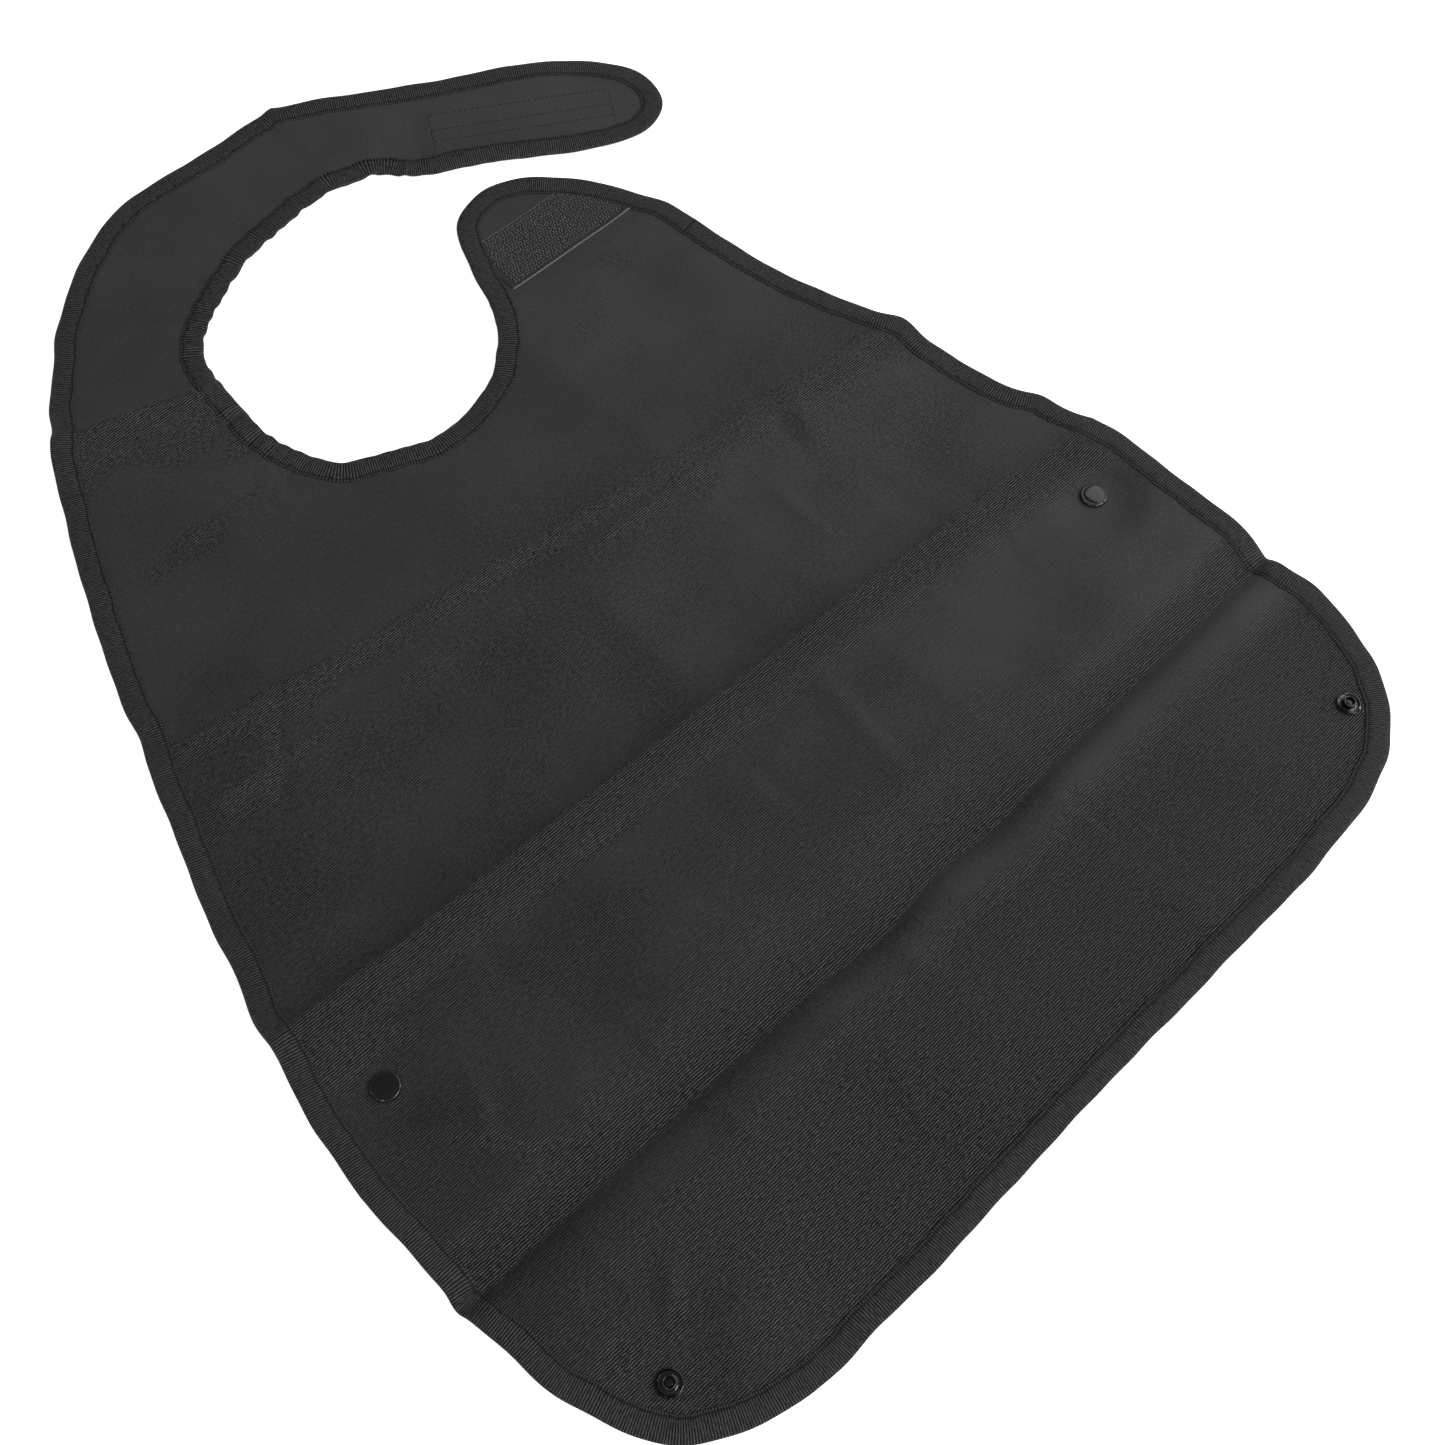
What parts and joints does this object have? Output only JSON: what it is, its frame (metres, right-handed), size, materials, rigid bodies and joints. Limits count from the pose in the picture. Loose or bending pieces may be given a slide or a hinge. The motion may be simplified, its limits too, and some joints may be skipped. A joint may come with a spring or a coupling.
{
  "type": "barber cape",
  "caption": "Bib-shaped barber cape with a wrap-round neck strap closed by hook and loop, taped edges and a hem flap held up by press snaps as a hair catcher.",
  "frame": {"origin": "centre of the footprint of the cape laid flat, on the surface that it lies on", "axes": "+Y from the hem to the neck strap, +Z out of the front face (up when laid flat), +X to the right shoulder tab"},
  "size_m": [0.4805, 0.6281, 0.0068],
  "materials": {
    "cloth": "black coated oxford weave, faint sheen, light storage creases",
    "binding_tape": "black ribbed grosgrain tape, ribs across the tape, dull",
    "thread": "black polyester sewing thread, satin",
    "hook_tape": "black hook tape, rough field with bare woven selvages",
    "loop_tape": "black loop tape, brushed pile",
    "snap_plastic": "glossy black acetal"
  },
  "bodies": {
    "bib_body": {"chest_panel": "cloth", "body_left_binding": "binding_tape", "body_neck_binding": "binding_tape", "body_right_binding": "binding_tape", "body_left_stitching": "thread", "body_neck_stitching": "thread", "body_right_stitching": "thread", "snap_cap_left": "snap_plastic", "snap_socket_left": "snap_plastic", "snap_cap_right": "snap_plastic", "snap_socket_right": "snap_plastic"},
    "catcher_flap": {"flap_panel": "cloth", "flap_binding": "binding_tape", "flap_stitching": "thread", "flap_snap_cap_left": "snap_plastic", "flap_snap_stud_left": "snap_plastic", "flap_snap_cap_right": "snap_plastic", "flap_snap_stud_right": "snap_plastic"},
    "neck_strap": {"strap_panel": "cloth", "strap_outer_binding": "binding_tape", "strap_inner_binding": "binding_tape", "strap_outer_stitching": "thread", "strap_inner_stitching": "thread"},
    "strap_end": {"strap_end_panel": "cloth", "strap_end_binding": "binding_tape", "strap_end_stitching": "thread", "loop_strip": "loop_tape", "loop_strip_stitching": "thread"},
    "shoulder_tab": {"tab_panel": "cloth", "tab_binding": "binding_tape", "tab_stitching": "thread", "hook_patch": "hook_tape", "hook_patch_stitching": "thread"}
  },
  "joints": [
    {"name": "catcher_fold", "type": "hinge", "parent": "bib_body", "child": "catcher_flap", "pos_m": [0, -0.203, 0.0052], "axis": [-1, 0, 0], "range_deg": [0, 165]},
    {"name": "strap_lift", "type": "hinge", "parent": "bib_body", "child": "neck_strap", "pos_m": [-0.0815, 0.2, 0.0052], "axis": [0.9444, -0.3289, 0], "range_deg": [0, 90]},
    {"name": "strap_end_fold", "type": "hinge", "parent": "neck_strap", "child": "strap_end", "pos_m": [0.0795, 0.283, 0.0052], "axis": [-0.0698, -0.9976, 0], "range_deg": [0, 150]},
    {"name": "tab_fold", "type": "hinge", "parent": "bib_body", "child": "shoulder_tab", "pos_m": [0.13, 0.1325, 0.0052], "axis": [1, 0, 0], "range_deg": [0, 165]}
  ]
}
